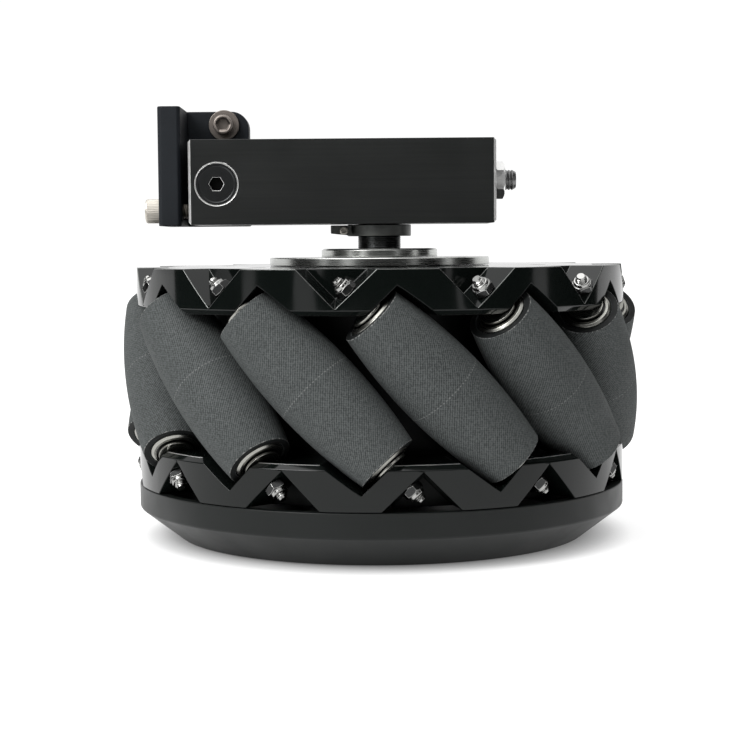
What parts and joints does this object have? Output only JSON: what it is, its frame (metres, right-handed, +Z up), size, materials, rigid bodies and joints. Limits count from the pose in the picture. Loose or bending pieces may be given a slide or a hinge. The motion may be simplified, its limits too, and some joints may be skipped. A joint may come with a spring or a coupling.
{
  "type": "mecanum wheel chassis corner module",
  "caption": "Mecanum drive wheel with barrel rollers at 45 degrees and a motor hub, carried by a square swing arm that pivots on an L-shaped chassis bracket.",
  "frame": {"origin": "centre of the flat face of the outer wheel cover, which the part rests on", "axes": "+Z up along the wheel's axis towards the arm, +X along the arm away from the bracket, -Y towards the side of the pivot screw's head"},
  "size_m": [0.2026, 0.2026, 0.1685],
  "materials": {
    "roller_rubber": "matte charcoal rubber with a fine woven mould texture",
    "roller_steel": "turned bright steel",
    "axle_zinc": "bright zinc plate",
    "rim_gloss": "gloss black anodised",
    "cover_satin": "satin dark grey anodised",
    "drum_gloss": "gloss black anodised",
    "magnet": "nickel plate",
    "laminations": "stacked sheet edges",
    "copper": "enamelled wire",
    "dark_steel": "black oxide, polished",
    "end_cover_dark": "polished dark metal",
    "bearing_steel": "ground",
    "arm_black": "satin black anodised with a faint drawn grain",
    "bronze": "sintered",
    "bracket_black": "matte blue-black bead-blasted",
    "stainless": "stainless steel"
  },
  "bodies": {
    "bracket": {"chassis_bracket": "bracket_black", "pivot_screw": "dark_steel", "jack_screw": "stainless", "lug_screw": "stainless", "lug_washer": "stainless"},
    "arm": {"swing_arm": "arm_black", "pivot_bush": "bronze", "main_shaft": "dark_steel", "shaft_collar": "dark_steel", "collar_screw": "stainless", "clamp_stud": "dark_steel", "lock_nut": "axle_zinc", "stator_core": "laminations", "stator_windings": "copper"},
    "wheel": {"inner_rim": "rim_gloss", "outer_rim": "rim_gloss", "wheel_cover": "cover_satin", "hub_drum": "drum_gloss", "magnet_ring": "magnet", "inner_end_cover": "end_cover_dark", "outer_end_cover": "end_cover_dark", "bearing_cap": "end_cover_dark", "inner_bearing": "bearing_steel", "outer_bearing": "bearing_steel", "roller_axle_01": "axle_zinc", "roller_axle_02": "axle_zinc", "roller_axle_03": "axle_zinc", "roller_axle_04": "axle_zinc", "roller_axle_05": "axle_zinc", "roller_axle_06": "axle_zinc", "roller_axle_07": "axle_zinc", "roller_axle_08": "axle_zinc", "roller_axle_09": "axle_zinc", "roller_axle_10": "axle_zinc", "roller_axle_11": "axle_zinc", "roller_axle_12": "axle_zinc"},
    "roller_01": {"roller_tyre_01": "roller_rubber", "roller_core_01": "roller_steel"},
    "roller_02": {"roller_tyre_02": "roller_rubber", "roller_core_02": "roller_steel"},
    "roller_03": {"roller_tyre_03": "roller_rubber", "roller_core_03": "roller_steel"},
    "roller_04": {"roller_tyre_04": "roller_rubber", "roller_core_04": "roller_steel"},
    "roller_05": {"roller_tyre_05": "roller_rubber", "roller_core_05": "roller_steel"},
    "roller_06": {"roller_tyre_06": "roller_rubber", "roller_core_06": "roller_steel"},
    "roller_07": {"roller_tyre_07": "roller_rubber", "roller_core_07": "roller_steel"},
    "roller_08": {"roller_tyre_08": "roller_rubber", "roller_core_08": "roller_steel"},
    "roller_09": {"roller_tyre_09": "roller_rubber", "roller_core_09": "roller_steel"},
    "roller_10": {"roller_tyre_10": "roller_rubber", "roller_core_10": "roller_steel"},
    "roller_11": {"roller_tyre_11": "roller_rubber", "roller_core_11": "roller_steel"},
    "roller_12": {"roller_tyre_12": "roller_rubber", "roller_core_12": "roller_steel"}
  },
  "joints": [
    {"name": "arm_swing", "type": "hinge", "parent": "bracket", "child": "arm", "pos_m": [-0.0631, 0, 0.1375], "axis": [0, -1, 0], "range_deg": [0, 8]},
    {"name": "wheel_spin", "type": "hinge", "parent": "arm", "child": "wheel", "pos_m": [0, 0, 0.0634], "axis": [0, 0, 1], "continuous": true},
    {"name": "roller_spin_01", "type": "hinge", "parent": "wheel", "child": "roller_01", "pos_m": [-0.0234, -0.08275, 0.0634], "axis": [-0.6804, 0.1924, 0.7071], "continuous": true},
    {"name": "roller_spin_02", "type": "hinge", "parent": "wheel", "child": "roller_02", "pos_m": [0.02111, -0.08337, 0.0634], "axis": [-0.6855, -0.1736, 0.7071], "continuous": true},
    {"name": "roller_spin_03", "type": "hinge", "parent": "wheel", "child": "roller_03", "pos_m": [0.05997, -0.06164, 0.0634], "axis": [-0.5068, -0.4931, 0.7071], "continuous": true},
    {"name": "roller_spin_04", "type": "hinge", "parent": "wheel", "child": "roller_04", "pos_m": [0.08275, -0.0234, 0.0634], "axis": [-0.1924, -0.6804, 0.7071], "continuous": true},
    {"name": "roller_spin_05", "type": "hinge", "parent": "wheel", "child": "roller_05", "pos_m": [0.08337, 0.02111, 0.0634], "axis": [0.1736, -0.6855, 0.7071], "continuous": true},
    {"name": "roller_spin_06", "type": "hinge", "parent": "wheel", "child": "roller_06", "pos_m": [0.06164, 0.05997, 0.0634], "axis": [0.4931, -0.5068, 0.7071], "continuous": true},
    {"name": "roller_spin_07", "type": "hinge", "parent": "wheel", "child": "roller_07", "pos_m": [0.0234, 0.08275, 0.0634], "axis": [0.6804, -0.1924, 0.7071], "continuous": true},
    {"name": "roller_spin_08", "type": "hinge", "parent": "wheel", "child": "roller_08", "pos_m": [-0.02111, 0.08337, 0.0634], "axis": [0.6855, 0.1736, 0.7071], "continuous": true},
    {"name": "roller_spin_09", "type": "hinge", "parent": "wheel", "child": "roller_09", "pos_m": [-0.05997, 0.06164, 0.0634], "axis": [0.5068, 0.4931, 0.7071], "continuous": true},
    {"name": "roller_spin_10", "type": "hinge", "parent": "wheel", "child": "roller_10", "pos_m": [-0.08275, 0.0234, 0.0634], "axis": [0.1924, 0.6804, 0.7071], "continuous": true},
    {"name": "roller_spin_11", "type": "hinge", "parent": "wheel", "child": "roller_11", "pos_m": [-0.08337, -0.02111, 0.0634], "axis": [-0.1736, 0.6855, 0.7071], "continuous": true},
    {"name": "roller_spin_12", "type": "hinge", "parent": "wheel", "child": "roller_12", "pos_m": [-0.06164, -0.05997, 0.0634], "axis": [-0.4931, 0.5068, 0.7071], "continuous": true}
  ]
}
